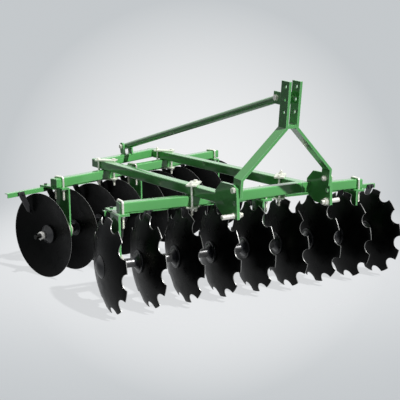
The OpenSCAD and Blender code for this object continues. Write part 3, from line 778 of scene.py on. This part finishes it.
def add_strut_bolts():
    bm = bmesh.new()
    for y, z in (mast_point(*STRUT_AT), STRUT_REAR):
        cross_bolt(bm, at(-LUG_OUT, y, z, RIGHTWARD), 2 * LUG_OUT)
    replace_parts(add_piece("strut_bolt_set", bm, [ZINC], "frame"), "strut_bolts")


def small_bolt(bm, place, size, grip):
    """Bolt along local Z with its head's seat at 0 and its nut past the grip."""
    radius, flats = size
    end = grip + radius * 1.6
    hexagon(bm, place, flats, -0.62 * flats / 1.6, 0)
    rod(bm, place, radius, -1, grip + 2, 0.5, 20)
    hexagon(bm, place, flats, grip, end, radius * 0.92)
    threaded(bm, place, radius, grip + 1, end + TAIL_START, SMALL_PITCH)


def add_bar_bolts(gang):
    """Two bolts per scraper, and one from each hanger flange down through the angle bar."""
    bm = bmesh.new()
    for i in range(DISC_COUNT):
        for x in SCRAPER_BOLTS:
            where = (i * DISC_PITCH + x, BAR_Y - SCRAPER_T, BAR_TOP - SCRAPER_BOLT_DROP)
            small_bolt(bm, at(*where, BEHIND), SCRAPER_BOLT, SCRAPER_T + BAR_T)
    for web in gang.webs:
        where = (web + HANGER_BOLT[0], BAR_Y + HANGER_BOLT[1], BEAM_Z)
        small_bolt(bm, at(*where, DOWN), BAR_BOLT, HANGER_T + BAR_T)
    add_piece(f"{gang.name}_bar_bolts", bm, [SCRAPER_GREY], "frame", gang.place)


def add_bearing_bolts(gang):
    """Four bolts through each bearing's lip and a grease nipple on its barrel."""
    bm = bmesh.new()
    nipple = [(0, -2), (3, -2), (3, 3), (4, 3.4), (4, 6), (2.2, 6.6), (2.2, 8.2)]
    nipple += [(3.2, 9.4), (3.2, 11), (1.6, 12.6), (0, 12.8)]
    grip = LIP_FACE + HANGER_T / 2
    for web in gang.webs:
        for k in range(4):
            a = math.radians(45 + 90 * k)
            y, z = LIP_BOLT_R * math.sin(a), DISC_R + LIP_BOLT_R * math.cos(a)
            small_bolt(bm, at(web + LIP_FACE, y, z, LEFTWARD), LIP_BOLT, grip)
        turned(bm, at(web + NIPPLE_X, 0, DISC_R + BEARING_R), nipple, 20)
    add_piece(f"{gang.name}_bearing_bolts", bm, [ZINC], "frame", gang.place)


# Welds


def add_welds():
    """Beads where plates and beams meet the rails, and on the mast and the strut's lugs."""
    bm = bmesh.new()
    low, high = RAIL_Z + TUBE_R, FRAME_TOP - TUBE_R
    top = FRAME_TOP - 3
    front, back = RAIL_FRONT, RAIL_FRONT + TUBE
    lap = front + PLATE_LAP
    flat = TUBE / 2 - 2
    slope = (CROSS_LEFT - CROSS_RIGHT) / (2 * RAIL_IN)
    reach = TUBE / 2 * math.hypot(1, slope)
    for side, cross in ((-1, CROSS_RIGHT), (1, CROSS_LEFT)):
        x_out, x_in = side * (RAIL_OUT + 2), side * (RAIL_IN - 1.5)
        seam, corner = side * (RAIL_IN + 2), side * (RAIL_OUT - 2)
        bead(bm, (x_out, lap + 1, low), (x_out, lap + 1, high))
        bead(bm, (corner, front, top), (corner, lap, top))
        bead(bm, (x_in, back + 1.5, low), (x_in, back + 1.5, high))
        bead(bm, (seam, front + TUBE_R, top), (seam, back - TUBE_R, top))
        for end in (cross - reach - 1.5, cross + reach + 1.5):
            bead(bm, (x_in, end, low), (x_in, end, high))
        bead(bm, (seam, cross - reach + TUBE_R, top), (seam, cross + reach - TUBE_R, top))
    middle = (CROSS_RIGHT + CROSS_LEFT) / 2
    mast = at(0, MAST_Y, MAST_Z, Matrix.Rotation(MAST_LEAN, 4, "X"))
    for side in (-1, 1):
        for x in (LUG_IN - 1, LUG_OUT + 1):
            centre = middle + side * x * slope
            start = max(centre - LUG_HALF, middle - flat)
            end = min(centre + LUG_HALF, middle + flat)
            bead(bm, (side * x, start, FRAME_TOP + 1), (side * x, end, FRAME_TOP + 1), 3.5)
        for h in (SPACER_LOW - 1, SPACER_HIGH + 1):
            x = side * (MAST_HALF_GAP - 1)
            bead(bm, (x, 3 - MAST_W / 2, h), (x, MAST_W / 2 - 3, h), 3.5, mast)
        x, y = side * (LUG_OUT + 1), MAST_W / 2 + 1
        start, end = STRUT_AT[1] - MAST_LUG_HALF, STRUT_AT[1] + MAST_LUG_HALF
        bead(bm, (x, y, start), (x, y, end), 4.0, mast)
    add_piece("weld_beads", bm, [GREEN], "frame")


# Stage: floor, light and camera

BACKDROP_EDGE = (0.555, 0.582, 0.602, 1.0)
BACKDROP_MIDDLE = (0.872, 0.880, 0.888, 1.0)
OVERHEAD = (0.98, 0.99, 1.0, 1.0)
FLOOR_GLOW = (0.765, 0.780, 0.795, 1.0)
FLOOR_SEEN = (0.8, 0.81, 0.82, 1)
FLOOR_UNSEEN = (0.08, 0.08, 0.08, 1)
FLOOR_AT = (0.2, 0.3, -0.0005)
FLOOR_ENDS = (0.7, 2.3)
GLOW_SHARE = 0.84
SKY_LIGHT = 0.11
KEY_FROM = (0.207, -0.626, 0.751)
FILL_FROM = (0.35, 0.75, 0.55)
# Directions in the backdrop, and the cosines or heights between which its tones change
VIEW = (0.5424, 0.8158, -0.2007)
POOL_RAMP = (0.968, 1.0)
DARK_SIDE = (-0.60, 0.79, -0.12)
DARK_RAMP = (0.62, 0.88)
DARK_LEVEL = 0.55
OVERHEAD_RAMP = (0.06, 0.16)


class Backdrop(Shader):
    """Shader calls for the world's own nodes."""

    def __init__(self, world):
        world.use_nodes = True
        self.tree = world.node_tree
        self.bsdf = self.tree.nodes["Background"]
        self.coords = self.tree.nodes.new("ShaderNodeTexCoord")


def seen_rays(s):
    """1 for the rays that show the background: camera, glossy and transmission rays."""
    path = s.node("LightPath")
    seen = s.math("MAXIMUM", path.outputs["Is Camera Ray"], path.outputs["Is Glossy Ray"])
    return s.math("MAXIMUM", seen, path.outputs["Is Transmission Ray"])


def add_floor():
    """Pale floor that keeps a soft shadow near the machine and runs out into the backdrop."""
    bpy.ops.mesh.primitive_circle_add(
        vertices=96, radius=30.0, fill_type="NGON", location=FLOOR_AT
    )
    floor = bpy.context.object
    floor.name = "floor"
    s = Shader("floor_pale", (0.8, 0.8, 0.8), 0.9)
    seen = seen_rays(s)
    color = s.mix(seen, FLOOR_UNSEEN, FLOOR_SEEN)
    s.set(s.bsdf, {"Base Color": color, "Specular IOR Level": 0.0})
    away = s.node("VectorMath", {0: s.coords.outputs["Object"]}, operation="LENGTH")
    glow = s.node("Emission", {"Color": FLOOR_GLOW, "Strength": 1.0})
    share = s.math("MULTIPLY", seen, GLOW_SHARE)
    lit = s.node("MixShader", {0: share, 1: s.bsdf.outputs[0], 2: glow.outputs[0]})
    clear = s.node("BsdfTransparent")
    ends = {"Value": away.outputs["Value"], 1: FLOOR_ENDS[0], 2: FLOOR_ENDS[1]}
    out = s.node("MapRange", ends, interpolation_type="SMOOTHSTEP").outputs[0]
    gone = s.math("MULTIPLY", out, seen)
    faded = s.node("MixShader", {0: gone, 1: lit.outputs[0], 2: clear.outputs[0]})
    surface = s.tree.nodes["Material Output"].inputs["Surface"]
    s.tree.links.new(faded.outputs[0], surface)
    floor.data.materials.append(s.material)


def add_world():
    """Pale backdrop: lighter behind the machine and overhead, darker on one side.

    It is weaker as a light than as a background.
    """
    world = bpy.data.worlds.new("studio")
    bpy.context.scene.world = world
    s = Backdrop(world)
    where = s.coords.outputs["Generated"]
    pool = s.mix(s.ramp(s.dot(where, VIEW), *POOL_RAMP), BACKDROP_EDGE, BACKDROP_MIDDLE)
    dim = s.ramp(s.dot(where, DARK_SIDE), *DARK_RAMP, 1.0, DARK_LEVEL)
    aside = s.node("VectorMath", {0: pool, "Scale": dim}, operation="SCALE")
    up = s.node("SeparateXYZ", {0: where}).outputs["Z"]
    shade = s.mix(s.ramp(up, *OVERHEAD_RAMP), aside.outputs["Vector"], OVERHEAD)
    strength = s.ramp(seen_rays(s), 0.0, 1.0, SKY_LIGHT, 1.0)
    s.set(s.bsdf, {"Color": shade, "Strength": strength})


def add_sun(name, energy, spread, toward):
    sun = bpy.data.lights.new(name, "SUN")
    sun.energy = energy
    sun.angle = math.radians(spread)
    lamp = bpy.data.objects.new(name, sun)
    lamp.rotation_euler = Vector(toward).to_track_quat("Z", "Y").to_euler()
    bpy.context.scene.collection.objects.link(lamp)


def add_camera():
    camera = bpy.data.objects.new("camera", bpy.data.cameras.new("camera"))
    camera.data.lens = CAMERA_LENS
    camera.data.sensor_width = CAMERA_SENSOR
    turn = Matrix.Rotation(math.radians(-CAMERA_YAW), 4, "Z")
    tip = Matrix.Rotation(math.radians(90 - CAMERA_PITCH), 4, "X")
    roll = Matrix.Rotation(math.radians(CAMERA_ROLL), 4, "Z")
    camera.matrix_world = Matrix.Translation(CAMERA_AT) @ turn @ tip @ roll
    bpy.context.scene.collection.objects.link(camera)
    bpy.context.scene.camera = camera


add_camera()
dress_cad()
for each in GANGS:
    add_discs(each)
    add_spools(each)
    add_ends(each)
    add_axle_nut(each)
    add_ubolts(each)
    add_bar_bolts(each)
    add_bearing_bolts(each)
add_straps()
add_clamp_bolts()
add_hitch_fasteners()
add_strut_bolts()
add_welds()
add_floor()
add_world()
add_sun("key", energy=4.5, spread=2.0, toward=KEY_FROM)
add_sun("fill", energy=0.25, spread=30.0, toward=FILL_FROM)
bpy.context.scene.view_settings.view_transform = "Standard"
